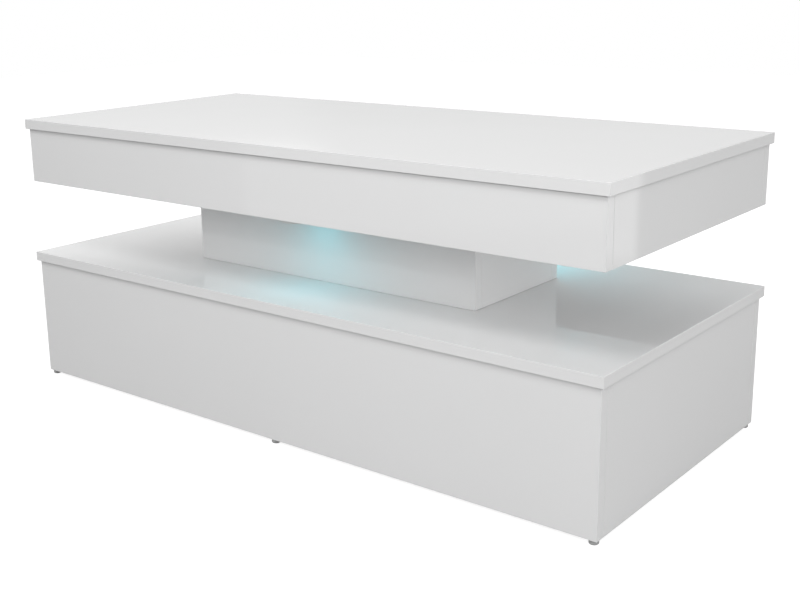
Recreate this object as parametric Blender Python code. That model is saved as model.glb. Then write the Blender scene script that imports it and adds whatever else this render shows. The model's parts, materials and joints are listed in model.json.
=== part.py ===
"""Lift top coffee table: a high-gloss board table, 1.10 x 0.50 x 0.453 m, at rest with its lid down.

The origin is on the floor, under the middle of the table. +X runs along its length, to the right
of a person who sits at its front, -Y points to that person, and +Z is up. Units are metres.

The table is a plinth, a narrow pedestal and an upper storage box, all of 16 mm board, and a
separate lid. The lid hangs on two four-bar lift-up fittings, one on each side panel of the box.
A fitting's two arms are parallel, so the lid stays level as it rises and moves to the front.
"""

import math

import bmesh
import bpy
from mathutils import Vector

# Driving dimensions.
LENGTH = 1.100
DEPTH = 0.500
BOARD = 0.016
OVERHANG = 0.005
GAP = 0.0003

FOOT_HEIGHT = 0.007
PLINTH_PANEL_HEIGHT = 0.200
PEDESTAL_HEIGHT = 0.124
PEDESTAL_LENGTH = 0.551
PEDESTAL_DEPTH = 0.224
BOX_HEIGHT = 0.0888
LID_GAP = 0.0012

# Levels, from the floor up.
PLINTH_TOP = FOOT_HEIGHT + PLINTH_PANEL_HEIGHT + BOARD
BOX_BOTTOM = PLINTH_TOP + PEDESTAL_HEIGHT
BOX_FLOOR = BOX_BOTTOM + BOARD
BOX_TOP = BOX_BOTTOM + BOX_HEIGHT
LID_BOTTOM = BOX_TOP + LID_GAP
LID_TOP = LID_BOTTOM + BOARD

# Half sizes of the box and plinth walls, outside and inside.
OUTER_X = LENGTH / 2 - OVERHANG
OUTER_Y = DEPTH / 2 - OVERHANG
INNER_X = OUTER_X - BOARD
INNER_Y = OUTER_Y - BOARD

FOOT_RADIUS = 0.0066
FOOT_INSET = 0.0085
BUMPER_RADIUS = 0.005
BUMPER_Y = 0.215

# Lift-up fitting. Angles are from +Y towards +Z, seen from the right-hand end of the table.
ARM_LENGTH = 0.190
ARM_WIDTH = 0.020
ARM_THICKNESS = 0.004
REST_ANGLE = math.radians(4)
FRONT_PIVOT_Y = -0.120
FRONT_PIVOT_Z = 0.406
REAR_PIVOT_AFTER = 0.053
REAR_PIVOT_BELOW = 0.027
PIN_RADIUS = 0.004
PIN_HOLE = 0.0045
HEAD_RADIUS = 0.0065
HEAD_THICKNESS = 0.0015
STUD_RADIUS = 0.003
STUD_HOLE = 0.0034
STUD_HEAD = 0.005
SPRING_REACH = 0.085
SPRING_RADIUS = 0.007
SPRING_EYE = 0.007
SPRING_EYE_HOLE = 0.0042
SPRING_EYE_THICKNESS = 0.0024
SYNC_REACH = 0.120
SYNC_RADIUS = 0.008
BRACKET_FOOT = 0.003
BRACKET_FLANGE = 0.022

# Distances from the middle of the table along X, given for the right-hand fitting.
BRACKET_IN = INNER_X - 0.0033
BRACKET_OUT = INNER_X - GAP
LID_PLATE_IN = INNER_X - 0.0036
LID_PLATE_OUT = INNER_X - 0.0011
ARM_OUT = LID_PLATE_IN - 0.0007
ARM_IN = ARM_OUT - ARM_THICKNESS
HEAD_OUT = ARM_IN - 0.0008
HEAD_IN = HEAD_OUT - HEAD_THICKNESS
SPRING_X = HEAD_IN - SPRING_RADIUS - 0.0005
STUD_END = SPRING_X - 0.0025

# Light units under the box: the middle of each one, as X and Y.
LIGHT_PLACES = {"front": (0, -0.170), "back": (0.200, 0.185)}
LIGHT_RADIUS = 0.030
LIGHT_HEIGHT = 0.016
LIGHT_WALL = 0.002
LENS_RADIUS = LIGHT_RADIUS - LIGHT_WALL - GAP
LENS_THICKNESS = 0.002

ROUND = 32
SMALL_ROUND = 16


def material(name, colour, roughness, metallic=0.0, coat=0.0):
    """A Principled BSDF material."""
    made = bpy.data.materials.new(name)
    made.use_nodes = True
    shader = made.node_tree.nodes["Principled BSDF"]
    shader.inputs["Base Color"].default_value = (*colour, 1.0)
    shader.inputs["Roughness"].default_value = roughness
    shader.inputs["Metallic"].default_value = metallic
    shader.inputs["Coat Weight"].default_value = coat
    made.diffuse_color = (*colour, 1.0)
    return made


def add_object(name, mesh, location, finish, parent=None):
    """Links a mesh as a named object, placed in world space and parented without a parent rotation."""
    made = bpy.data.objects.new(name, mesh)
    bpy.context.scene.collection.objects.link(made)
    if parent:
        made.parent = parent
    made.location = Vector(location) - (parent.location if parent else Vector())
    if finish:
        mesh.materials.append(finish)
    return made


def pivot_empty(name, y, z):
    """An empty on a joint's axis, which runs along X."""
    made = bpy.data.objects.new(name, None)
    bpy.context.scene.collection.objects.link(made)
    made.location = (0, y, z)
    made.empty_display_size = 0.03
    return made


def mesh_from(name, shape):
    """Turns a bmesh into a mesh with its faces pointing out."""
    bmesh.ops.recalc_face_normals(shape, faces=shape.faces)
    mesh = bpy.data.meshes.new(name)
    shape.to_mesh(mesh)
    shape.free()
    return mesh


def board(name, low, high, finish, parent=None):
    """A rectangular board between two corners, with its origin at its middle."""
    low, high = Vector(low), Vector(high)
    size = high - low
    shape = bmesh.new()
    bmesh.ops.create_cube(shape, size=1.0)
    bmesh.ops.scale(shape, vec=size, verts=shape.verts)
    return add_object(name, mesh_from(name, shape), (low + high) / 2, finish, parent)


def turned(name, profile, location, finish, sides=ROUND, axis="Z", parent=None):
    """A turned piece: profile is (radius, height) points from one end of the axis to the other."""
    shape = bmesh.new()
    rings = []
    for radius, height in profile:
        if radius == 0:
            rings.append([shape.verts.new((0, 0, height))])
            continue
        ring = []
        for step in range(sides):
            angle = 2 * math.pi * step / sides
            ring.append(shape.verts.new((radius * math.cos(angle), radius * math.sin(angle), height)))
        rings.append(ring)
    for first, second in zip(rings, rings[1:]):
        for step in range(sides):
            after = (step + 1) % sides
            corners = [first[step % len(first)], first[after % len(first)]]
            corners += [second[after % len(second)], second[step % len(second)]]
            shape.faces.new(list(dict.fromkeys(corners)))
    if axis == "X":
        turn = Vector((0, 0, 1)).rotation_difference(Vector((1, 0, 0))).to_matrix()
        bmesh.ops.rotate(shape, cent=(0, 0, 0), matrix=turn, verts=shape.verts)
    mesh = mesh_from(name, shape)
    mesh.shade_smooth()
    mesh.set_sharp_from_angle(angle=math.radians(40))
    return add_object(name, mesh, location, finish, parent)


def extruded(name, outline, low_x, high_x, origin, finish):
    """A plate whose (y, z) outline, measured from origin, is extruded from low_x to high_x."""
    shape = bmesh.new()
    corners = [shape.verts.new((low_x, y, z)) for y, z in outline]
    face = shape.faces.new(corners)
    grown = bmesh.ops.extrude_face_region(shape, geom=[face])
    moved = [item for item in grown["geom"] if isinstance(item, bmesh.types.BMVert)]
    bmesh.ops.translate(shape, vec=(high_x - low_x, 0, 0), verts=moved)
    return add_object(name, mesh_from(name, shape), origin, finish)


def boolean(target, other, operation):
    """Applies an exact Boolean of other to target, and removes other."""
    modifier = target.modifiers.new(operation.lower(), "BOOLEAN")
    modifier.operation = operation
    modifier.object = other
    bpy.context.view_layer.update()
    graph = bpy.context.evaluated_depsgraph_get()
    result = bpy.data.meshes.new_from_object(target.evaluated_get(graph))
    target.modifiers.clear()
    target.data = result
    bpy.data.objects.remove(other)


def drill(target, x_low, x_high, y, z, radius):
    """Drills a hole along X through target."""
    reach = 0.002
    profile = [(0, x_low - reach), (radius, x_low - reach), (radius, x_high + reach), (0, x_high + reach)]
    cutter = turned("drill", profile, (0, y, z), None, SMALL_ROUND, "X")
    boolean(target, cutter, "DIFFERENCE")


def sided(side, near, far):
    """Turns two distances from the middle of the table into a low and a high X on one side."""
    return tuple(sorted((side * near, side * far)))


def along(start, distance, angle):
    """The (y, z) point at a distance from start in a direction from +Y towards +Z."""
    return (start[0] + distance * math.cos(angle), start[1] + distance * math.sin(angle))


def round_ended(length, width, angle, steps=8):
    """The outline of a bar with round ends, from one pivot at (0, 0) to the other."""
    outline = []
    for end, turn in ((length, -math.pi / 2), (0, math.pi / 2)):
        for step in range(steps + 1):
            around = angle + turn + math.pi * step / steps
            centre = along((0, 0), end, angle)
            outline.append(along(centre, width / 2, around))
    return outline


def attach(child, parent):
    """Parents a piece whose location is in world space, and leaves it where it is."""
    child.parent = parent
    child.location -= parent.location


def make_finishes():
    """Every finish, by the name of what it is put on."""
    return {
        "board": material("white_gloss_board", (0.80, 0.80, 0.80), 0.12, coat=0.6),
        "steel": material("black_coated_steel", (0.035, 0.035, 0.038), 0.45, metallic=0.3),
        "bright": material("zinc_plated_steel", (0.62, 0.62, 0.60), 0.28, metallic=1.0),
        "glide": material("grey_plastic_glide", (0.42, 0.42, 0.42), 0.5),
        "bumper": material("clear_grey_rubber", (0.55, 0.55, 0.55), 0.7),
        "housing": material("white_plastic_housing", (0.82, 0.82, 0.82), 0.4),
        "lens": material("cyan_light_lens", (0.35, 0.92, 1.00), 0.3),
        "circuit": material("green_circuit_board", (0.03, 0.22, 0.10), 0.5),
        "cell": material("battery_pack", (0.10, 0.10, 0.11), 0.4),
    }


def make_box_walls(name, half_x, half_y, low, high, finish):
    """Front and back panels over the full length, and two side panels between them."""
    end_y = half_y - BOARD
    board(f"{name}_front_panel", (-half_x, -half_y, low), (half_x, -end_y, high), finish)
    board(f"{name}_back_panel", (-half_x, end_y, low), (half_x, half_y, high), finish)
    for side, word in ((-1, "left"), (1, "right")):
        low_x, high_x = sided(side, half_x - BOARD, half_x)
        wall_y = end_y - GAP
        board(f"{name}_{word}_side", (low_x, -wall_y, low), (high_x, wall_y, high), finish)


def make_plinth(finishes):
    """The closed lower cabinet on six glides, with the slab that carries the pedestal."""
    low = FOOT_HEIGHT
    high = PLINTH_TOP - BOARD
    make_box_walls("plinth", OUTER_X, OUTER_Y, low, high, finishes["board"])
    inner_x = INNER_X - GAP
    inner_y = INNER_Y - GAP
    floor_top = low + BOARD
    board("plinth_floor", (-inner_x, -inner_y, low), (inner_x, inner_y, floor_top), finishes["board"])
    half = BOARD / 2
    board(
        "plinth_divider",
        (-half, -inner_y, floor_top + GAP),
        (half, inner_y, high),
        finishes["board"],
    )
    board(
        "plinth_top",
        (-LENGTH / 2, -DEPTH / 2, high + GAP),
        (LENGTH / 2, DEPTH / 2, PLINTH_TOP),
        finishes["board"],
    )
    top = FOOT_HEIGHT - GAP
    profile = [(0, 0), (0.0048, 0), (FOOT_RADIUS, 0.0022), (FOOT_RADIUS, top), (0, top)]
    for row, y in (("front", -OUTER_Y + FOOT_INSET), ("back", OUTER_Y - FOOT_INSET)):
        for word, x in (("left", -OUTER_X + FOOT_INSET), ("middle", 0), ("right", OUTER_X - FOOT_INSET)):
            turned(f"glide_{row}_{word}", profile, (x, y, 0), finishes["glide"], 24)


def make_pedestal(finishes):
    """The narrow hollow support between the plinth and the upper box."""
    low = PLINTH_TOP + GAP
    high = BOX_BOTTOM - GAP
    half_y = PEDESTAL_DEPTH / 2
    make_box_walls("pedestal", PEDESTAL_LENGTH / 2, half_y, low, high, finishes["board"])
    divider_y = half_y - BOARD - GAP
    half = BOARD / 2
    board("pedestal_divider", (-half, -divider_y, low), (half, divider_y, high), finishes["board"])


def make_upper_box(finishes):
    """The shallow storage box under the lid, with the pads that the lid rests on."""
    make_box_walls("box", OUTER_X, OUTER_Y, BOX_BOTTOM, BOX_TOP, finishes["board"])
    floor_x = INNER_X - GAP
    floor_y = INNER_Y - GAP
    board(
        "box_floor",
        (-floor_x, -floor_y, BOX_BOTTOM),
        (floor_x, floor_y, BOX_FLOOR),
        finishes["board"],
    )
    height = LID_GAP - 2 * GAP
    profile = [(0, 0), (BUMPER_RADIUS, 0), (BUMPER_RADIUS, height), (0, height)]
    for side, word in ((-1, "left"), (1, "right")):
        x = side * (OUTER_X - BOARD / 2)
        for row, y in (("front", -BUMPER_Y), ("back", BUMPER_Y)):
            place = (x, y, BOX_TOP + GAP)
            turned(f"lid_bumper_{row}_{word}", profile, place, finishes["bumper"], SMALL_ROUND)


def make_lights(finishes):
    """Two round battery lights screwed under the box, in front of the pedestal and behind it."""
    top = LIGHT_HEIGHT
    inside = LIGHT_RADIUS - LIGHT_WALL
    roof = top - LIGHT_WALL
    shell = [(0, top), (LIGHT_RADIUS, top), (LIGHT_RADIUS, 0), (inside, 0), (inside, roof), (0, roof)]
    lens = [(0, 0.0005), (LENS_RADIUS, 0.0005), (LENS_RADIUS, LENS_THICKNESS), (0, LENS_THICKNESS)]
    board_low = 0.005
    board_high = board_low + 0.0016
    circuit = [(0, board_low), (0.026, board_low), (0.026, board_high), (0, board_high)]
    for row, (x, y) in LIGHT_PLACES.items():
        base = BOX_BOTTOM - GAP - LIGHT_HEIGHT
        place = (x, y, base)
        turned(f"light_housing_{row}", shell, place, finishes["housing"])
        turned(f"light_lens_{row}", lens, place, finishes["lens"])
        turned(f"light_circuit_{row}", circuit, place, finishes["circuit"], 24)
        board(
            f"light_battery_{row}",
            (x - 0.018, y - 0.010, base + board_high + GAP),
            (x + 0.018, y + 0.010, base + roof - GAP),
            finishes["cell"],
        )


def pin(name, side, x_near, x_far, head_radius, radius, centre, finish, parent=None):
    """A headed pin along X. The head is the end nearer to the middle of the table."""
    shoulder = x_near + HEAD_THICKNESS
    profile = [(0, x_near), (head_radius, x_near), (head_radius, shoulder)]
    profile += [(radius, shoulder), (radius, x_far), (0, x_far)]
    if side < 0:
        profile = [(r, -x) for r, x in reversed(profile)]
    return turned(name, profile, (0, *centre), finish, SMALL_ROUND, "X", parent)


def make_base_bracket(word, side, pivots, finishes):
    """The angle bracket on a side panel: its foot is on the box floor, and it holds three pins."""
    front, rear, anchor = pivots
    foot = BOX_FLOOR + GAP
    y_low = anchor[0] - 0.010
    y_high = rear[0] + 0.016
    rise = front[1] + 0.015
    slope = rear[1] + 0.012
    outline = [(y_low, foot), (y_high, foot), (y_high, slope), (front[0] + 0.022, rise), (y_low, rise)]
    low_x, high_x = sided(side, BRACKET_IN, BRACKET_OUT)
    bracket = extruded(f"base_bracket_{word}", outline, low_x, high_x, (0, 0, 0), finishes["steel"])
    flange_x = sided(side, BRACKET_OUT - BRACKET_FLANGE, BRACKET_OUT)
    flange = board(
        "flange",
        (flange_x[0], y_low, foot),
        (flange_x[1], y_high, foot + BRACKET_FOOT),
        finishes["steel"],
    )
    boolean(bracket, flange, "UNION")
    for centre, radius in ((front, PIN_HOLE), (rear, PIN_HOLE), (anchor, STUD_HOLE)):
        drill(bracket, low_x, high_x, *centre, radius)


def make_lid_bracket(word, side, pivots, finishes, parent):
    """The angle bracket under the lid, which holds the pins at the arms' moving ends."""
    front, rear = pivots
    y_low = front[0] - 0.012
    y_high = rear[0] + 0.012
    top = LID_BOTTOM - GAP
    below = rear[1] - 0.011
    outline = [(y_low, front[1] - 0.011), (rear[0] - 0.014, below), (y_high, below)]
    outline += [(y_high, top), (y_low, top)]
    low_x, high_x = sided(side, LID_PLATE_IN, LID_PLATE_OUT)
    bracket = extruded(f"lid_bracket_{word}", outline, low_x, high_x, (0, 0, 0), finishes["steel"])
    flange_x = sided(side, LID_PLATE_OUT - BRACKET_FLANGE, LID_PLATE_OUT)
    flange = board(
        "flange",
        (flange_x[0], y_low, top - BRACKET_FOOT),
        (flange_x[1], y_high, top),
        finishes["steel"],
    )
    boolean(bracket, flange, "UNION")
    for centre in pivots:
        drill(bracket, low_x, high_x, *centre, PIN_HOLE)
    attach(bracket, parent)


def make_spring(word, side, start, end, finishes, parent):
    """The tension spring as one round body with a flat eye at each end."""
    x = side * SPRING_X
    length = end[0] - start[0]
    clear = SPRING_EYE - 0.001
    profile = [(0, clear), (SPRING_RADIUS, clear), (SPRING_RADIUS, length - clear), (0, length - clear)]
    shape = turned(f"spring_{word}", profile, (x, *start), finishes["bright"], SMALL_ROUND)
    turn = Vector((0, 0, 1)).rotation_difference(Vector((0, 1, 0))).to_matrix().to_4x4()
    shape.data.transform(turn)
    half = SPRING_EYE_THICKNESS / 2
    eye = [(0, -half), (SPRING_EYE, -half), (SPRING_EYE, half), (0, half)]
    for centre in (start, end):
        ring = turned("eye", eye, (x, *centre), finishes["bright"], SMALL_ROUND, "X")
        boolean(shape, ring, "UNION")
    for centre in (start, end):
        drill(shape, x - SPRING_RADIUS, x + SPRING_RADIUS, *centre, SPRING_EYE_HOLE)
    attach(shape, parent)


def make_fitting(word, side, front_arms, lid, finishes):
    """One lift-up fitting: two brackets, two arms, a spring and their pins."""
    front = (FRONT_PIVOT_Y, FRONT_PIVOT_Z)
    rear = (front[0] + REAR_PIVOT_AFTER, front[1] - REAR_PIVOT_BELOW)
    lid_front = along(front, ARM_LENGTH, REST_ANGLE)
    lid_rear = along(rear, ARM_LENGTH, REST_ANGLE)
    anchor = along(front, SPRING_REACH, math.pi - REST_ANGLE)
    stud = along(front, SPRING_REACH, REST_ANGLE)
    steel, bright = finishes["steel"], finishes["bright"]

    make_base_bracket(word, side, (front, rear, anchor), finishes)
    make_lid_bracket(word, side, (lid_front, lid_rear), finishes, lid)

    rear_arm = pivot_empty(f"rear_arm_{word}_pivot", *rear)
    spring = pivot_empty(f"spring_{word}_pivot", *anchor)
    bar = round_ended(ARM_LENGTH, ARM_WIDTH, REST_ANGLE)
    low_x, high_x = sided(side, ARM_IN, ARM_OUT)
    for name, start, finish_end, parent in (
        ("front_arm", front, lid_front, front_arms),
        ("rear_arm", rear, lid_rear, rear_arm),
    ):
        arm = extruded(f"{name}_{word}", bar, low_x, high_x, (0, *start), steel)
        for centre in (start, finish_end):
            drill(arm, low_x, high_x, *centre, PIN_HOLE)
        if name == "front_arm":
            drill(arm, low_x, high_x, *stud, STUD_HOLE)
        attach(arm, parent)

    base_end = BRACKET_OUT - GAP
    lid_end = LID_PLATE_OUT - GAP
    for name, centre, far, parent in (
        ("base_front_pin", front, base_end, None),
        ("base_rear_pin", rear, base_end, None),
        ("lid_front_pin", lid_front, lid_end, lid),
        ("lid_rear_pin", lid_rear, lid_end, lid),
    ):
        pin(f"{name}_{word}", side, HEAD_IN, far, HEAD_RADIUS, PIN_RADIUS, centre, bright, parent)
    for name, centre, far, parent in (
        ("spring_anchor", anchor, base_end, None),
        ("spring_stud", stud, ARM_OUT, front_arms),
    ):
        near = STUD_END - HEAD_THICKNESS
        pin(f"{name}_{word}", side, near, far, STUD_HEAD, STUD_RADIUS, centre, bright, parent)
    make_spring(word, side, anchor, stud, finishes, spring)


def make_lid_and_fittings(finishes):
    """The lid, the bar that keeps both fittings in step, and a fitting on each side."""
    front_arms = pivot_empty("front_arms_pivot", FRONT_PIVOT_Y, FRONT_PIVOT_Z)
    lid_front = along((FRONT_PIVOT_Y, FRONT_PIVOT_Z), ARM_LENGTH, REST_ANGLE)
    lid = pivot_empty("lid_pivot", *lid_front)
    board(
        "lid_top",
        (-LENGTH / 2, -DEPTH / 2, LID_BOTTOM),
        (LENGTH / 2, DEPTH / 2, LID_TOP),
        finishes["board"],
        lid,
    )
    half = ARM_IN - GAP
    centre = along((FRONT_PIVOT_Y, FRONT_PIVOT_Z), SYNC_REACH, REST_ANGLE)
    profile = [(0, -half), (SYNC_RADIUS, -half), (SYNC_RADIUS, half), (0, half)]
    turned("sync_bar", profile, (0, *centre), finishes["steel"], 24, "X", front_arms)
    for side, word in ((-1, "left"), (1, "right")):
        make_fitting(word, side, front_arms, lid, finishes)


def main():
    for old in list(bpy.data.objects):
        bpy.data.objects.remove(old)
    finishes = make_finishes()
    make_plinth(finishes)
    make_pedestal(finishes)
    make_upper_box(finishes)
    make_lights(finishes)
    make_lid_and_fittings(finishes)


main()
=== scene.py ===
"""Looks of the lift top coffee table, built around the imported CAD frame.

The boards, brackets and arms are the CAD's own solids with a better surface. The springs, rivets,
feet, pads and light units are finer pieces that stand for their plain CAD solids, and the screws
and caps are added here. Units are metres, in the CAD's frame: +X to the right, -Y to the front.
"""

import json
import math

import bmesh
import bpy
from mathutils import Matrix, Vector

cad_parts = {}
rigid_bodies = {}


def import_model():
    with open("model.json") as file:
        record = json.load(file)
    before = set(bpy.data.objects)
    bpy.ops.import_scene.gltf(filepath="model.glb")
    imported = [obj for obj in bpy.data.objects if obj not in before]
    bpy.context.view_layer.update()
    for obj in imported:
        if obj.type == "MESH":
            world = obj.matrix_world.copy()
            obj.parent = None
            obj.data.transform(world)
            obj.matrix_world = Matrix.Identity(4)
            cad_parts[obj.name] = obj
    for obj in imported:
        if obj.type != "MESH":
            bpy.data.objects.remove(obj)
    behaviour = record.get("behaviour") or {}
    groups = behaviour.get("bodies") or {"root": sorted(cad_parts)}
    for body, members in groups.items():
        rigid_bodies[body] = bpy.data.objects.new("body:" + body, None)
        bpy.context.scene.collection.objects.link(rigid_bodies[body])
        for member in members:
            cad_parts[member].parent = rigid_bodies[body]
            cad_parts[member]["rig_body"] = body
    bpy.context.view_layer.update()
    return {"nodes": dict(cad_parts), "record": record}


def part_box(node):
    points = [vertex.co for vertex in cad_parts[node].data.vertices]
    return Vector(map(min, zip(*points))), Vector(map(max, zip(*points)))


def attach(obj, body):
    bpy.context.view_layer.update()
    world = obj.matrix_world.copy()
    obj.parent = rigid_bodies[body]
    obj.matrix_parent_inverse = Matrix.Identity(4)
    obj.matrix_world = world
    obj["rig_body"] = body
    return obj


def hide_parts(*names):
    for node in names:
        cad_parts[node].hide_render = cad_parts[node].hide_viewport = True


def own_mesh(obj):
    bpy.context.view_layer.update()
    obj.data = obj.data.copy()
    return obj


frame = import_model()

NODES = frame["nodes"]
SLOT_NODES = {}
for part in frame["record"]["subparts"]:
    SLOT_NODES.setdefault(part["material_slot"], []).append(part["node"])
SIDES = ((-1, "left"), (1, "right"))
ROWS = ("front", "back")

# Camera: azimuth from -Y towards +X and elevation above the floor, in degrees.
CAMERA_PLACE = Vector((1.1601, -1.4246, 0.6880))
CAMERA_AZIMUTH = 38.934
CAMERA_ELEVATION = 14.061
CAMERA_ROLL = -0.920
CAMERA_LENS = 52.80
CAMERA_SHIFT = (0.0291, -0.0445)

# Patches of sky: azimuth from +Y towards +X, elevation, half width, half height, in degrees, and strength.
# SKY_SOFTNESS is the width of a patch's edge.
SKY_SOFTNESS = 4
SKY = (
    (0, 75, 181, 23, 0.17),
    (175, 44, 65, 9, 1.4),
    (-5, 44, 115, 9, 0.7),
    (175, 29, 65, 7, 1.0),
    (-5, 29, 115, 7, 1.4),
    (-68, 2, 26, 8, 0.85),
    (-68, 11.5, 26, 2, 1.4),
    (-68, 18, 26, 4, 0.2),
    (-28, 5.5, 14, 10, 0.8),
    (20, 8, 34, 14, 0.8),
    (90, 8, 36, 14, 0.95),
    (165, 8, 39, 14, 0.35),
    (-125, 8, 31, 14, 0.95),
)
# Softboxes: place, aim, width and height, and power in watts.
SOFTBOXES = {
    "key": ((1.2, -2.2, 1.1), (0, 0, 0.3), (1.0, 1.0), 13.0),
    "top_front": ((0.2, -1.2, 2.0), (0, -0.2, 0.2), (1.2, 0.6), 10.0),
    "right": ((3.2, 0.2, 0.55), (0.5, 0, 0.33), (1.2, 0.4), 11.0),
    "back": ((-1.0, 2.6, 1.2), (0, 0, 0.3), (1.2, 0.8), 6.0),
}
FLOOR_SIDE = 12.0
FLOOR_TONE = 0.3
FLOOR_GLOW = 0.9
# Sunlit stretches of floor, which only show mirrored in the boards: a point of the edge, the way it runs in
# degrees from +X towards +Y, the lit side (1 is left) and strength. Each starts some way from its point.
FLOOR_SUN = (((-0.036, -0.25), 224.5, 1, 0.4), ((0.55, -0.168), 64.0, -1, 0.85))
FLOOR_SUN_START = 1.2
FLOOR_SUN_EDGE = 0.015
FLOOR_SUN_FADE = 0.3
# What the two light units throw down, in watts.
LIGHT_COLOUR = (0.0, 0.85, 1.0)
LIGHT_POWER = {"front": 0.017, "back": 0.062}
LIGHT_BELOW_LENS = 0.001

# Boards: the thickness of the edge band, the width of the seam beside it, and the rounding of every edge.
EDGE_BAND = 0.0009
EDGE_SEAM = 0.00018
BOARD_ROUNDING = 0.0005
# The thickness axis of a board and its melamine side, where the name of the board doesn't say.
SATIN_SIDE = {
    "lid_top": (2, -1),
    "plinth_top": (2, -1),
    "box_floor": (2, 0),
    "plinth_floor": (2, 0),
    "plinth_divider": (0, 0),
    "pedestal_divider": (0, 0),
}
# The rounding of the other CAD solids that stay in sight.
SLOT_ROUNDING = {"black_coated_steel": 0.0004, "green_circuit_board": 0.0002, "battery_wrap": 0.0012}
BEVEL_ANGLE = 35
SHARP_ANGLE = 38

# Springs: a helix of round wire that runs in to its axis over HOOK_TURNS at each end, between two rings of
# radius SPRING_CLEAR.
SPRING_CLEAR = 0.006
SPRING_TURNS = 32
SPRING_WIRE = 0.0018
HOOK_TURNS = 0.75
WIRE_SIDES = 10
RING_STEPS = 40

# Pins of the fittings.
PIN_RADIUS = 0.004
STUD_RADIUS = 0.003
HEAD_THICKNESS = 0.0015
SYNC_END_RADIUS = 0.0055
SYNC_END_HEIGHT = 0.0004

# Screws in the flanges of the brackets: SET_BACK is from the flange's edge, SCREW_INSET from its ends.
SCREW_RADIUS = 0.0036
SCREW_HEIGHT = 0.0018
FLANGE_THICKNESS = 0.003
SET_BACK = 0.0053
SCREW_INSET = 0.014

# Covers in the upper box. The shares place the screw caps along half the width of the pedestal.
CAP_RADIUS = 0.0065
CAP_HEIGHT = 0.0012
CAP_SHARES = (-0.72, -0.24, 0.24, 0.72)
CAM_RADIUS = 0.009
CAM_HEIGHT = 0.0008
CAM_INSET = 0.055

GLIDE_TAPER = 0.0022
NAIL_RECESS = 0.0012

# Light units: the wall of the shell, the radius of the ring of chips, and the pitch of the lens's ribs.
SHELL_WALL = 0.002
CHIP_RING = 0.014
PRISM_PITCH = 0.0015


# ---------------------------------------------------------------- node helpers


class Tree:
    """A node tree, with short calls for the nodes that the finishes and the world share."""

    def __init__(self, tree):
        self.tree = tree

    def node(self, kind, **inputs):
        made = self.tree.nodes.new(kind)
        for name, value in inputs.items():
            made.inputs[name.replace("_", " ")].default_value = value
        return made

    def link(self, source, target):
        self.tree.links.new(source, target)

    def math(self, operation, *values):
        made = self.node("ShaderNodeMath")
        made.operation = operation
        for index, value in enumerate(values):
            if isinstance(value, (int, float)):
                made.inputs[index].default_value = value
            else:
                self.link(value, made.inputs[index])
        return made.outputs["Value"]

    def ramp(self, value, low, high, out_low, out_high, smooth=False):
        made = self.node("ShaderNodeMapRange", From_Min=low, From_Max=high, To_Min=out_low, To_Max=out_high)
        if smooth:
            made.interpolation_type = "SMOOTHSTEP"
        self.link(value, made.inputs["Value"])
        return made.outputs["Result"]

    def split(self, vector):
        made = self.node("ShaderNodeSeparateXYZ")
        self.link(vector, made.inputs["Vector"])
        return [made.outputs[axis] for axis in "XYZ"]


class Shader(Tree):
    """A material with one Principled BSDF."""

    def __init__(self, name):
        self.material = bpy.data.materials.new(name)
        self.material.use_nodes = True
        super().__init__(self.material.node_tree)
        self.bsdf = self.tree.nodes["Principled BSDF"]

    def set(self, **values):
        for name, value in values.items():
            self.bsdf.inputs[name.replace("_", " ")].default_value = value

    def place(self, stretch=(1, 1, 1)):
        mapping = self.node("ShaderNodeMapping", Scale=stretch)
        self.link(self.node("ShaderNodeTexCoord").outputs["Object"], mapping.inputs["Vector"])
        return mapping.outputs["Vector"]

    def noise(self, scale, detail=3.0, roughness=0.5, stretch=(1, 1, 1)):
        made = self.node("ShaderNodeTexNoise", Scale=scale, Detail=detail, Roughness=roughness)
        self.link(self.place(stretch), made.inputs["Vector"])
        return made.outputs["Fac"]

    def cells(self, scale, feature="F1"):
        made = self.node("ShaderNodeTexVoronoi", Scale=scale)
        made.feature = feature
        self.link(self.place(), made.inputs["Vector"])
        return made

    def colours(self, value, first, second):
        made = self.node("ShaderNodeMix")
        made.data_type = "RGBA"
        for socket in made.inputs:
            if socket.type == "RGBA":
                socket.default_value = (*(first if socket.name == "A" else second), 1.0)
        self.link(value, made.inputs["Factor"])
        return next(socket for socket in made.outputs if socket.type == "RGBA")

    def bump(self, height, distance):
        made = self.node("ShaderNodeBump", Strength=1.0, Distance=distance)
        self.link(height, made.inputs["Height"])
        return made.outputs["Normal"]

    def out(self, **sockets):
        for name, socket in sockets.items():
            self.link(socket, self.bsdf.inputs[name.replace("_", " ")])
        return self.material


# ---------------------------------------------------------------- finishes


def satin_side(name):
    """The thickness axis of a board and the side of it that is plain melamine: -1, 1, or 0 for both."""
    if name in SATIN_SIDE:
        return SATIN_SIDE[name]
    if "front" in name:
        return 1, 1
    if "back" in name:
        return 1, -1
    return 0, 1 if "left" in name else -1


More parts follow.
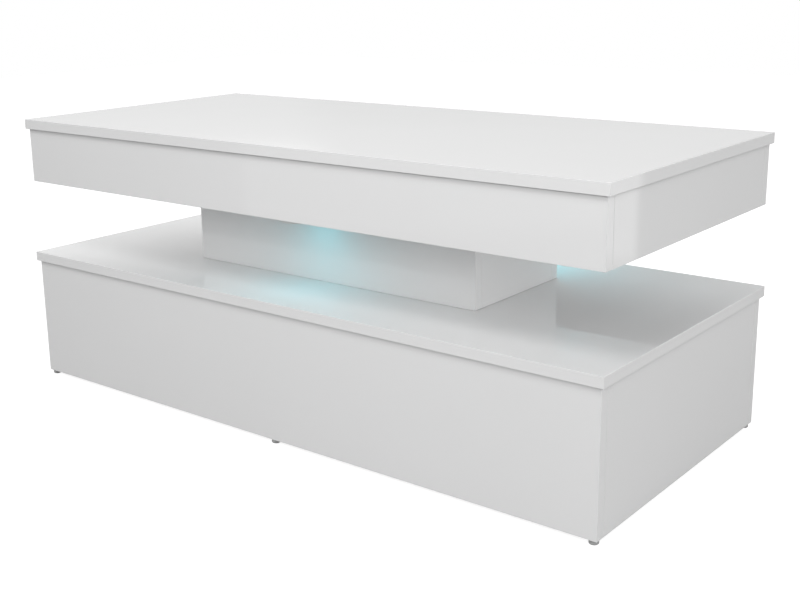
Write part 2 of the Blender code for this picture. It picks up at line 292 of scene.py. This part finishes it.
def board_finish(name):
    """White high-gloss lacquer with a faint orange peel, over edge banding and satin melamine inside."""
    low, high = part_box(name)
    middle, half = (low + high) / 2, (high - low) / 2
    made = Shader(f"gloss_{name}")
    made.set(IOR=1.5)
    places = made.split(made.place())
    offsets = [made.math("SUBTRACT", place, middle[axis]) for axis, place in enumerate(places)]
    across, side = satin_side(name)

    to_edge = []
    for axis in range(3):
        if axis != across:
            to_edge.append(made.math("SUBTRACT", half[axis], made.math("ABSOLUTE", offsets[axis])))
    nearest = made.math("MINIMUM", *to_edge)
    from_seam = made.math("ABSOLUTE", made.math("SUBTRACT", nearest, EDGE_BAND))
    seam = made.ramp(from_seam, 0, EDGE_SEAM, 1, 0)

    depth = made.math("MULTIPLY", offsets[across], side) if side else made.math("ABSOLUTE", offsets[across])
    satin = made.ramp(depth, half[across] - 0.0006, half[across] - 0.0004, 0, 1)

    clouds = made.noise(5.0, 2.0)
    tone = made.math("SUBTRACT", clouds, made.math("MULTIPLY", seam, 3.0))
    colour = made.colours(tone, (0.79, 0.79, 0.79), (0.81, 0.81, 0.812))
    haze = made.ramp(made.noise(38.0), 0.3, 0.7, 0.012, 0.026)
    wiped = made.ramp(made.noise(9.0, 2.0, stretch=(1.0, 5.0, 1.0)), 0.55, 0.75, 0.0, 0.012)
    pearl = made.noise(900.0, 2.0)
    plain = made.math("MULTIPLY", satin, made.ramp(pearl, 0.3, 0.7, 0.26, 0.36))
    roughness = made.math("ADD", made.math("ADD", haze, wiped), plain)
    peel = made.math("MULTIPLY", made.noise(70.0, 2.0, 0.4, (1.0, 1.0, 1.6)), 0.004)
    grain = made.math("MULTIPLY", satin, made.math("MULTIPLY", pearl, 0.012))
    groove = made.math("MULTIPLY", seam, -0.06)
    height = made.math("ADD", made.math("ADD", peel, grain), groove)
    return made.out(Base_Color=colour, Roughness=roughness, Normal=made.bump(height, 0.001))


def powder_coat():
    """Black powder coat: a tight orange peel with dust-dulled patches."""
    made = Shader("black_powder_coat")
    made.set(Metallic=0.0, Specular_IOR_Level=0.45)
    patches = made.noise(35.0, 4.0)
    colour = made.colours(patches, (0.014, 0.014, 0.016), (0.032, 0.032, 0.034))
    roughness = made.ramp(patches, 0.3, 0.7, 0.36, 0.5)
    peel = made.cells(900.0, "SMOOTH_F1").outputs["Distance"]
    return made.out(Base_Color=colour, Roughness=roughness, Normal=made.bump(peel, 0.00006))


def zinc_plate():
    """Bright zinc plating: small spangles, fine scratches and a faint warm and blue tint."""
    made = Shader("zinc_plate")
    made.set(Metallic=1.0)
    spangle = made.cells(420.0).outputs["Distance"]
    tint = made.noise(60.0, 3.0)
    colour = made.colours(tint, (0.58, 0.60, 0.63), (0.68, 0.66, 0.61))
    scratches = made.noise(500.0, 2.0, stretch=(1.0, 0.06, 1.0))
    wear = made.math("ADD", made.math("MULTIPLY", spangle, 0.3), scratches)
    roughness = made.ramp(wear, 0.3, 0.9, 0.2, 0.4)
    return made.out(Base_Color=colour, Roughness=roughness, Normal=made.bump(scratches, 0.00001))


def moulded(name, dark, light, rough_low, rough_high, grain=700.0):
    """Moulded plastic or rubber: a faint colour variation under a fine spark-eroded grain."""
    made = Shader(name)
    patches = made.noise(80.0, 3.0)
    texture = made.noise(grain, 3.0, 0.6)
    colour = made.colours(patches, dark, light)
    roughness = made.ramp(texture, 0.3, 0.7, rough_low, rough_high)
    return made.out(Base_Color=colour, Roughness=roughness, Normal=made.bump(texture, 0.00003))


def lit_lens(row):
    """A frosted lens lit from inside, brightest over its ring of chips and ribbed by its prisms."""
    low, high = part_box(f"light_lens_{row}")
    middle = (low + high) / 2
    made = Shader(f"lit_lens_{row}")
    made.set(Base_Color=(0.35, 0.92, 1.0, 1), Emission_Color=(0.10, 0.85, 1.0, 1))
    x, y, _ = made.split(made.place())
    x = made.math("SUBTRACT", x, middle.x)
    y = made.math("SUBTRACT", y, middle.y)
    radius = made.math("SQRT", made.math("ADD", made.math("MULTIPLY", x, x), made.math("MULTIPLY", y, y)))
    from_chips = made.math("ABSOLUTE", made.math("SUBTRACT", radius, CHIP_RING))
    glow = made.ramp(from_chips, 0.0, CHIP_RING, 2.4, 1.2, smooth=True)
    ribs = made.math("SINE", made.math("MULTIPLY", radius, 2 * math.pi / PRISM_PITCH))
    frost = made.noise(600.0, 2.0)
    roughness = made.ramp(frost, 0.3, 0.7, 0.3, 0.45)
    return made.out(Emission_Strength=glow, Roughness=roughness, Normal=made.bump(ribs, 0.0001))


def circuit_board():
    """Green solder mask over copper tracks, with tinned pads."""
    made = Shader("circuit_board")
    tracks = made.cells(260.0, "DISTANCE_TO_EDGE").outputs["Distance"]
    pads = made.cells(380.0).outputs["Distance"]
    colour = made.colours(made.ramp(tracks, 0.03, 0.06, 1, 0), (0.012, 0.13, 0.05), (0.04, 0.27, 0.12))
    roughness = made.ramp(pads, 0.15, 0.2, 0.25, 0.5)
    return made.out(Base_Color=colour, Roughness=roughness, Normal=made.bump(tracks, 0.00008))


def battery_wrap():
    """Shrink wrap round two cells: a dark sleeve with a lighter band and faint wrinkles."""
    made = Shader("battery_wrap")
    x = made.split(made.place())[0]
    band = made.ramp(made.math("SINE", made.math("MULTIPLY", x, 260.0)), 0.7, 0.8, 0, 1)
    wrinkles = made.noise(160.0, 4.0, stretch=(0.3, 1.0, 1.0))
    colour = made.colours(band, (0.02, 0.02, 0.024), (0.32, 0.33, 0.36))
    roughness = made.ramp(wrinkles, 0.3, 0.7, 0.22, 0.38)
    return made.out(Base_Color=colour, Roughness=roughness, Normal=made.bump(wrinkles, 0.0001))


FINISHES = {
    "black_coated_steel": powder_coat(),
    "zinc_plated_steel": zinc_plate(),
    "grey_plastic_glide": moulded("grey_glide", (0.38, 0.38, 0.385), (0.44, 0.44, 0.44), 0.42, 0.58),
    "rubber_bumper": moulded("grey_rubber", (0.5, 0.5, 0.49), (0.6, 0.6, 0.59), 0.5, 0.7, 1200.0),
    "white_plastic_housing": moulded("white_plastic", (0.77, 0.77, 0.76), (0.82, 0.82, 0.815), 0.3, 0.45),
    "green_circuit_board": circuit_board(),
    "battery_wrap": battery_wrap(),
}
LENS_FINISH = {row: lit_lens(row) for row in ROWS}


# ---------------------------------------------------------------- mesh helpers


def soften(obj, width):
    """Rounds an object's edges by a small radius."""
    weld = obj.modifiers.new("weld", "WELD")
    weld.merge_threshold = 0.00001
    bevel = obj.modifiers.new("bevel", "BEVEL")
    bevel.width = width
    bevel.segments = 2
    bevel.limit_method = "ANGLE"
    bevel.angle_limit = math.radians(BEVEL_ANGLE)
    bevel.harden_normals = True


def finish_mesh(mesh, shape):
    """Writes a bmesh to a mesh, smooth but for its sharp edges, with its faces pointing out."""
    bmesh.ops.recalc_face_normals(shape, faces=shape.faces)
    shape.to_mesh(mesh)
    shape.free()
    mesh.shade_smooth()
    mesh.set_sharp_from_angle(angle=math.radians(SHARP_ANGLE))
    return mesh


def join_rings(shape, first, second):
    """Faces between two rings of points, either of which may be a single point."""
    sides = max(len(first), len(second))
    for step in range(sides):
        after = (step + 1) % sides
        corners = [first[step % len(first)], first[after % len(first)]]
        corners += [second[after % len(second)], second[step % len(second)]]
        shape.faces.new(list(dict.fromkeys(corners)))


def turned_mesh(name, profile, sides):
    """A turned mesh round Z. Profile is (radius, height) points from one end of the axis to the other."""
    shape = bmesh.new()
    rings = []
    for radius, height in profile:
        count = sides if radius else 1
        ring = []
        for step in range(count):
            angle = 2 * math.pi * step / sides
            ring.append(shape.verts.new((radius * math.cos(angle), radius * math.sin(angle), height)))
        rings.append(ring)
    for first, second in zip(rings, rings[1:]):
        join_rings(shape, first, second)
    return finish_mesh(bpy.data.meshes.new(name), shape)


def add_piece(name, mesh, place, body, slot, direction=(0, 0, 1), finish=None, instead_of=()):
    """Puts a mesh whose own axis is +Z in place, gives it its finish and lets it ride on a body."""
    piece = bpy.data.objects.new(name, mesh)
    bpy.context.scene.collection.objects.link(piece)
    turn = Vector((0, 0, 1)).rotation_difference(Vector(direction)).to_matrix().to_4x4()
    piece.matrix_world = Matrix.Translation(Vector(place)) @ turn
    if not mesh.materials:
        mesh.materials.append(finish or FINISHES[slot])
    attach(piece, body)
    if instead_of:
        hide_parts(*instead_of)
    return piece


def arc(centre, radius, start, end, steps):
    """Points (radius, height) along an arc, for a turned profile. Angles are in degrees."""
    points = []
    for step in range(steps + 1):
        angle = math.radians(start + (end - start) * step / steps)
        points.append((centre[0] + radius * math.cos(angle), centre[1] + radius * math.sin(angle)))
    return points


def body_of(node):
    return NODES[node]["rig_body"]


# ---------------------------------------------------------------- pieces


def finish_cad_nodes():
    """The CAD solids that stay in sight: boards, steel plates and bar, circuit boards and cells."""
    for name in SLOT_NODES["white_gloss_board"]:
        NODES[name].data.materials.clear()
        NODES[name].data.materials.append(board_finish(name))
        soften(NODES[name], BOARD_ROUNDING)
    for slot, width in SLOT_ROUNDING.items():
        for name in SLOT_NODES[slot]:
            NODES[name].data.materials.clear()
            NODES[name].data.materials.append(FINISHES[slot])
            soften(NODES[name], width)


def make_glides():
    """Tapered plastic glides, each with a recessed nail in its sole."""
    low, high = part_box("glide_front_left")
    radius, height = (high.x - low.x) / 2, high.z
    sole = [(0, NAIL_RECESS), (0.0022, NAIL_RECESS), (0.0024, 0), (radius - GLIDE_TAPER, 0)]
    side = arc((radius - GLIDE_TAPER, GLIDE_TAPER), GLIDE_TAPER, -75, 0, 8) + [(radius, height - 0.0008)]
    rim = [(radius - 0.0003, height - 0.0006), (radius - 0.0003, height), (0, height)]
    glide = turned_mesh("glide", sole + side + rim, 48)
    head = [(0, 0.0006), (0.001, 0.0006), (0.0016, 0.0009), (0.0018, NAIL_RECESS), (0, NAIL_RECESS)]
    nail = turned_mesh("glide_nail", head, 24)
    for name in SLOT_NODES["grey_plastic_glide"]:
        low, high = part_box(name)
        place = ((low.x + high.x) / 2, (low.y + high.y) / 2, 0)
        add_piece(f"turned_{name}", glide, place, body_of(name), "grey_plastic_glide", instead_of=[name])
        add_piece(name.replace("glide", "nail"), nail, place, body_of(name), "zinc_plated_steel")


def make_bumpers():
    """Domed rubber pads that the lid rests on."""
    for name in SLOT_NODES["rubber_bumper"]:
        low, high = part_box(name)
        radius, height = (high.x - low.x) / 2, high.z - low.z
        crown = height * 0.65
        profile = [(0, 0), (radius, 0), (radius, height - crown)]
        profile += arc((radius - crown, height - crown), crown, 15, 90, 6) + [(0, height)]
        mesh = turned_mesh(name, profile, 40)
        place = ((low.x + high.x) / 2, (low.y + high.y) / 2, low.z)
        add_piece(f"domed_{name}", mesh, place, body_of(name), "rubber_bumper", instead_of=[name])


def rivet_profile(head, shank, length):
    """A shoulder rivet from its peened head at 0 to its end."""
    return [
        (0, 0.0006),
        (head * 0.2, 0.0006),
        (head * 0.3, 0.0002),
        (head * 0.36, 0),
        (head * 0.7, 0.0002),
        (head * 0.92, 0.0006),
        (head, HEAD_THICKNESS * 0.72),
        (head, HEAD_THICKNESS),
        (shank, HEAD_THICKNESS),
        (shank, length - 0.0003),
        (shank - 0.0003, length),
        (0, length),
    ]


def make_rivets():
    """The pins of both fittings, with domed heads towards the middle of the table."""
    for name in SLOT_NODES["zinc_plated_steel"]:
        if name.startswith("spring_left") or name.startswith("spring_right"):
            continue
        low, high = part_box(name)
        side = 1 if low.x > 0 else -1
        near = low.x if side > 0 else high.x
        shank = STUD_RADIUS if name.startswith("spring") else PIN_RADIUS
        profile = rivet_profile((high.z - low.z) / 2, shank, high.x - low.x)
        place = (near, (low.y + high.y) / 2, (low.z + high.z) / 2)
        mesh = turned_mesh(name, profile, 48)
        slot, along = "zinc_plated_steel", (side, 0, 0)
        add_piece(f"rivet_{name}", mesh, place, body_of(name), slot, along, instead_of=[name])


def make_light_units():
    """Round battery lights: a chamfered shell round a ribbed, lit lens."""
    for row in ROWS:
        low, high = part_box(f"light_housing_{row}")
        radius, height = (high.x - low.x) / 2, high.z - low.z
        inside, roof = radius - SHELL_WALL, height - SHELL_WALL
        shell = [(0, height), (radius - 0.0006, height), (radius, height - 0.0006)]
        shell += [(radius, 0.0015)] + arc((radius - 0.0009, 0.0009), 0.0009, 0, -90, 5)
        shell += [(inside + 0.0004, 0), (inside, 0.0004), (inside, roof), (0, roof)]
        place = ((low.x + high.x) / 2, (low.y + high.y) / 2, low.z)
        housing = turned_mesh(f"housing_{row}", shell, 72)
        node = f"light_housing_{row}"
        body = body_of(node)
        add_piece(f"shell_{row}", housing, place, body, "white_plastic_housing", instead_of=[node])

        # The mesh of the lens is moved, not its object, because its finish reads places in the frame.
        node = f"light_lens_{row}"
        low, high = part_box(node)
        radius = (high.x - low.x) / 2
        place = (place[0], place[1], low.z)
        profile = [(0, 0), (radius * 0.8, 0), (radius - 0.0006, 0.0002), (radius, 0.0006)]
        profile += [(radius, high.z - low.z), (0, high.z - low.z)]
        lens = turned_mesh(f"lens_{row}", profile, 72)
        lens.transform(Matrix.Translation(place))
        slot, finish = "cyan_light_lens", LENS_FINISH[row]
        add_piece(f"domed_lens_{row}", lens, (0, 0, 0), body, slot, finish=finish, instead_of=[node])


def wire_ring(shape, centre, across, other, radius):
    """A ring of points round a centre, in the plane of two directions."""
    ring = []
    for step in range(WIRE_SIDES):
        angle = 2 * math.pi * step / WIRE_SIDES
        offset = across * math.cos(angle) + other * math.sin(angle)
        ring.append(shape.verts.new(centre + offset * radius))
    return ring


def tube_mesh(name, points, radius):
    """A closed round tube along a list of points."""
    shape = bmesh.new()
    rings = []
    for index, point in enumerate(points):
        before, after = points[max(index - 1, 0)], points[min(index + 1, len(points) - 1)]
        along = (after - before).normalized()
        across = along.cross(Vector((1, 0, 0)))
        if across.length < 0.2:
            across = along.cross(Vector((0, 0, 1)))
        across.normalize()
        rings.append(wire_ring(shape, point, across, along.cross(across), radius))
    for first, second in zip(rings, rings[1:]):
        join_rings(shape, first, second)
    shape.faces.new(rings[0])
    shape.faces.new(rings[-1])
    return finish_mesh(bpy.data.meshes.new(name), shape)


def ring_mesh(name, radius, wire):
    """A ring of round wire round X."""
    shape = bmesh.new()
    rings = []
    for step in range(RING_STEPS):
        angle = 2 * math.pi * step / RING_STEPS
        out = Vector((0, math.cos(angle), math.sin(angle)))
        rings.append(wire_ring(shape, out * radius, out, Vector((1, 0, 0)), wire))
    for first, second in zip(rings, rings[1:] + rings[:1]):
        join_rings(shape, first, second)
    return finish_mesh(bpy.data.meshes.new(name), shape)


def make_springs():
    """Each lift spring: a coil that shortens as the lid rises, between rings on the two studs."""
    slot = "zinc_plated_steel"
    steps_a_turn = 16
    for _, word in SIDES:
        low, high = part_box(f"spring_{word}")
        anchor_low, anchor_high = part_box(f"spring_anchor_{word}")
        stud_low, stud_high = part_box(f"spring_stud_{word}")
        x = (low.x + high.x) / 2
        anchor = Vector((x, *((anchor_low + anchor_high) / 2)[1:]))
        stud = Vector((x, *((stud_low + stud_high) / 2)[1:]))
        start = anchor.y + SPRING_CLEAR
        length = stud.y - SPRING_CLEAR - start
        coil_radius = (high.x - low.x) / 2 - SPRING_WIRE / 2
        count = SPRING_TURNS * steps_a_turn
        points = []
        for step in range(count + 1):
            share = step / count
            turns = share * SPRING_TURNS
            reach = min(1.0, turns / HOOK_TURNS, (SPRING_TURNS - turns) / HOOK_TURNS)
            angle = 2 * math.pi * turns
            radius = coil_radius * math.sin(reach * math.pi / 2)
            height = anchor.z + radius * math.cos(angle)
            points.append(Vector((x + radius * math.sin(angle), start + length * share, height)))
        coil = tube_mesh(f"coil_{word}", points, SPRING_WIRE / 2)
        body = f"spring_{word}"
        piece = add_piece(f"coil_{word}", coil, (0, 0, 0), body, slot, instead_of=[f"spring_{word}"])
        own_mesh(piece)
        ring = ring_mesh(f"spring_ring_{word}", SPRING_CLEAR - SPRING_WIRE / 2, SPRING_WIRE / 2)
        add_piece(f"anchor_ring_{word}", ring, anchor, body, slot)
        add_piece(f"stud_ring_{word}", ring, stud, "front_arms", slot)


def screw_mesh():
    """A pan head screw with a cross recess, seated at the origin, its head towards +Z."""
    profile = [(0, 0), (SCREW_RADIUS, 0), (SCREW_RADIUS, SCREW_HEIGHT * 0.3)]
    profile += [(SCREW_RADIUS * 0.93, SCREW_HEIGHT * 0.6), (SCREW_RADIUS * 0.7, SCREW_HEIGHT * 0.88)]
    profile += [(SCREW_RADIUS * 0.35, SCREW_HEIGHT), (0, SCREW_HEIGHT)]
    head = bpy.data.objects.new("screw_head", turned_mesh("screw_head", profile, 40))
    bpy.context.scene.collection.objects.link(head)
    cutters = []
    for index, (long, wide) in enumerate(((1.3, 0.22), (0.22, 1.3))):
        shape = bmesh.new()
        bmesh.ops.create_cube(shape, size=1.0)
        size = (SCREW_RADIUS * long, SCREW_RADIUS * wide, SCREW_HEIGHT)
        bmesh.ops.scale(shape, vec=size, verts=shape.verts)
        bmesh.ops.translate(shape, vec=(0, 0, SCREW_HEIGHT * 0.95), verts=shape.verts)
        mesh = bpy.data.meshes.new("cross")
        shape.to_mesh(mesh)
        shape.free()
        cutter = bpy.data.objects.new("cross", mesh)
        bpy.context.scene.collection.objects.link(cutter)
        cutters.append(cutter)
        cut = head.modifiers.new(f"cut_{index}", "BOOLEAN")
        cut.operation = "DIFFERENCE"
        cut.object = cutter
    bpy.context.view_layer.update()
    mesh = bpy.data.meshes.new_from_object(head.evaluated_get(bpy.context.evaluated_depsgraph_get()))
    for extra in (head, *cutters):
        bpy.data.objects.remove(extra)
    return mesh


def make_screws():
    """Pan head screws through the flanges of the brackets, into the box floor and into the lid."""
    mesh = screw_mesh()
    slot = "zinc_plated_steel"
    for side, word in SIDES:
        for bracket, count, direction in (("base_bracket", 3, 1), ("lid_bracket", 2, -1)):
            low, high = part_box(f"{bracket}_{word}")
            x = (low.x if side > 0 else high.x) + side * SET_BACK
            z = low.z + FLANGE_THICKNESS if direction > 0 else high.z - FLANGE_THICKNESS
            first, last = low.y + SCREW_INSET, high.y - SCREW_INSET
            for index in range(count):
                y = first + (last - first) * index / (count - 1)
                name = f"{bracket}_screw_{word}_{index + 1}"
                add_piece(name, mesh, (x, y, z), body_of(f"{bracket}_{word}"), slot, (0, 0, direction))


def make_sync_bolts():
    """Flat rivet ends where the sync bar is fixed through the front arms."""
    low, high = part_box("sync_bar")
    centre = (low + high) / 2
    for side, word in SIDES:
        arm_low, arm_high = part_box(f"front_arm_{word}")
        outside = arm_high.x if side > 0 else arm_low.x
        profile = [(0, 0), (SYNC_END_RADIUS, 0), (SYNC_END_RADIUS, SYNC_END_HEIGHT / 2)]
        profile += [(SYNC_END_RADIUS - 0.0003, SYNC_END_HEIGHT), (0, SYNC_END_HEIGHT)]
        mesh = turned_mesh(f"sync_end_{word}", profile, 40)
        place = (outside, centre.y, centre.z)
        add_piece(f"sync_end_{word}", mesh, place, "front_arms", "zinc_plated_steel", (side, 0, 0))


def make_caps():
    """White covers over the screws down into the pedestal, and over the cam locks in the box walls."""
    slot = "white_plastic_housing"
    radius, height = CAP_RADIUS, CAP_HEIGHT
    dome = [(0, 0), (radius, 0), (radius, height * 0.25), (radius * 0.85, height * 0.8)]
    dome += [(radius * 0.5, height), (0, height)]
    cap = turned_mesh("screw_cap", dome, 40)
    body = body_of("box_floor")
    floor_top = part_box("box_floor")[1].z
    low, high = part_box("pedestal_front_panel")
    wall_y = abs(low.y + high.y) / 2
    for row, y in (("front", -wall_y), ("back", wall_y)):
        for index, share in enumerate(CAP_SHARES):
            place = (high.x * share, y, floor_top)
            add_piece(f"screw_cap_{row}_{index + 1}", cap, place, body, slot)
    radius, height = CAM_RADIUS, CAM_HEIGHT
    flat = [(0, 0), (radius, 0), (radius, height * 0.5), (radius - 0.0004, height), (radius * 0.6, height)]
    flat += [(radius * 0.55, height * 0.6), (0, height * 0.6)]
    cam = turned_mesh("cam_cap", flat, 48)
    for row, inward in (("front", 1), ("back", -1)):
        low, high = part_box(f"box_{row}_panel")
        y = high.y if inward > 0 else low.y
        z = (floor_top + high.z) / 2
        for side, word in SIDES:
            place = (side * (high.x - CAM_INSET), y, z)
            add_piece(f"cam_cap_{row}_{word}", cam, place, body, slot, (0, inward, 0))


# ---------------------------------------------------------------- camera, world and lights


def make_camera():
    data = bpy.data.cameras.new("camera")
    camera = bpy.data.objects.new("camera", data)
    bpy.context.scene.collection.objects.link(camera)
    azimuth, elevation = math.radians(CAMERA_AZIMUTH), math.radians(CAMERA_ELEVATION)
    level = Vector((math.sin(azimuth), -math.cos(azimuth), 0))
    back = level * math.cos(elevation) + Vector((0, 0, math.sin(elevation)))
    right = Vector((0, 0, 1)).cross(back).normalized()
    up = back.cross(right)
    upright = Matrix((right, up, back)).transposed().to_4x4()
    roll = Matrix.Rotation(math.radians(CAMERA_ROLL), 4, "Z")
    camera.matrix_world = Matrix.Translation(CAMERA_PLACE) @ upright @ roll
    data.lens = CAMERA_LENS
    data.sensor_width = 36
    data.shift_x, data.shift_y = CAMERA_SHIFT
    bpy.context.scene.camera = camera


def sky_patch(world, direction, azimuth, elevation, half_width, half_height, strength):
    """A soft-edged patch of sky."""
    soft = math.radians(SKY_SOFTNESS) / 2
    turned = world.node("ShaderNodeVectorRotate", Angle=math.radians(azimuth))
    turned.rotation_type = "Z_AXIS"
    world.link(direction, turned.inputs["Vector"])
    x, y, z = world.split(turned.outputs["Vector"])
    across = world.math("ABSOLUTE", world.math("ARCTAN2", x, y))
    above = world.math("ABSOLUTE", world.math("SUBTRACT", world.math("ARCSINE", z), math.radians(elevation)))
    shares = []
    for value, reach in ((across, half_width), (above, half_height)):
        edge = math.radians(reach)
        shares.append(world.ramp(value, edge - soft, edge + soft, 1, 0, smooth=True))
    return world.math("MULTIPLY", world.math("MULTIPLY", *shares), strength)


def make_world():
    """White for the camera, and for everything else a room's patches of light."""
    scene = bpy.context.scene
    scene.view_settings.view_transform = "Standard"
    scene.world = bpy.data.worlds.new("studio")
    scene.world.use_nodes = True
    world = Tree(scene.world.node_tree)
    direction = world.node("ShaderNodeTexCoord").outputs["Generated"]
    total = sky_patch(world, direction, *SKY[0])
    for patch in SKY[1:]:
        total = world.math("ADD", total, sky_patch(world, direction, *patch))
    seen = world.node("ShaderNodeLightPath").outputs["Is Camera Ray"]
    background = world.tree.nodes["Background"]
    background.inputs["Color"].default_value = (1, 1, 1, 1)
    hidden = world.math("MULTIPLY", total, world.math("SUBTRACT", 1, seen))
    world.link(world.math("ADD", seen, hidden), background.inputs["Strength"])


def make_floor():
    """A pale floor, white to the camera but for a trace of shadow. Only mirrors show its sunlit stretches."""
    shape = bmesh.new()
    bmesh.ops.create_grid(shape, x_segments=1, y_segments=1, size=FLOOR_SIDE / 2)
    mesh = finish_mesh(bpy.data.meshes.new("floor"), shape)
    floor = bpy.data.objects.new("floor", mesh)
    bpy.context.scene.collection.objects.link(floor)
    made = Shader("pale_floor")
    made.set(Base_Color=(FLOOR_TONE, FLOOR_TONE, FLOOR_TONE, 1), Roughness=0.9, Emission_Color=(1, 1, 1, 1))
    rays = made.node("ShaderNodeLightPath").outputs
    places = made.split(made.place())
    glow = made.math("MULTIPLY", rays["Is Camera Ray"], FLOOR_GLOW)
    for point, direction, side, strength in FLOOR_SUN:
        along = Vector((math.cos(math.radians(direction)), math.sin(math.radians(direction))))
        x, y = (made.math("SUBTRACT", places[axis], point[axis]) for axis in range(2))
        ahead = made.math("ADD", made.math("MULTIPLY", x, along.x), made.math("MULTIPLY", y, along.y))
        right, up = made.math("MULTIPLY", x, -side * along.y), made.math("MULTIPLY", y, side * along.x)
        inside = made.math("ADD", right, up)
        lit = made.ramp(inside, -FLOOR_SUN_EDGE, FLOOR_SUN_EDGE, 0, strength, smooth=True)
        reached = made.ramp(ahead, FLOOR_SUN_START, FLOOR_SUN_START + FLOOR_SUN_FADE, 0, 1)
        lit = made.math("MULTIPLY", lit, reached)
        glow = made.math("ADD", glow, made.math("MULTIPLY", lit, rays["Is Glossy Ray"]))
    mesh.materials.append(made.out(Emission_Strength=glow))


def make_lights():
    scene = bpy.context.scene
    for name, (place, aim, size, power) in SOFTBOXES.items():
        data = bpy.data.lights.new(name, "AREA")
        data.shape = "RECTANGLE"
        data.size, data.size_y = size
        data.energy = power
        light = bpy.data.objects.new(name, data)
        scene.collection.objects.link(light)
        light.location = place
        light.rotation_euler = (Vector(place) - Vector(aim)).to_track_quat("Z", "Y").to_euler()
        light.visible_glossy = False
    for row, power in LIGHT_POWER.items():
        low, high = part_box(f"light_lens_{row}")
        data = bpy.data.lights.new(f"glow_{row}", "AREA")
        data.shape = "DISK"
        data.size = high.x - low.x
        data.energy = power
        data.color = LIGHT_COLOUR
        light = bpy.data.objects.new(f"glow_{row}", data)
        scene.collection.objects.link(light)
        light.location = ((low.x + high.x) / 2, (low.y + high.y) / 2, low.z - LIGHT_BELOW_LENS)
        light.visible_camera = False


finish_cad_nodes()
make_glides()
make_bumpers()
make_rivets()
make_light_units()
make_springs()
make_screws()
make_sync_bolts()
make_caps()
make_camera()
make_world()
make_floor()
make_lights()
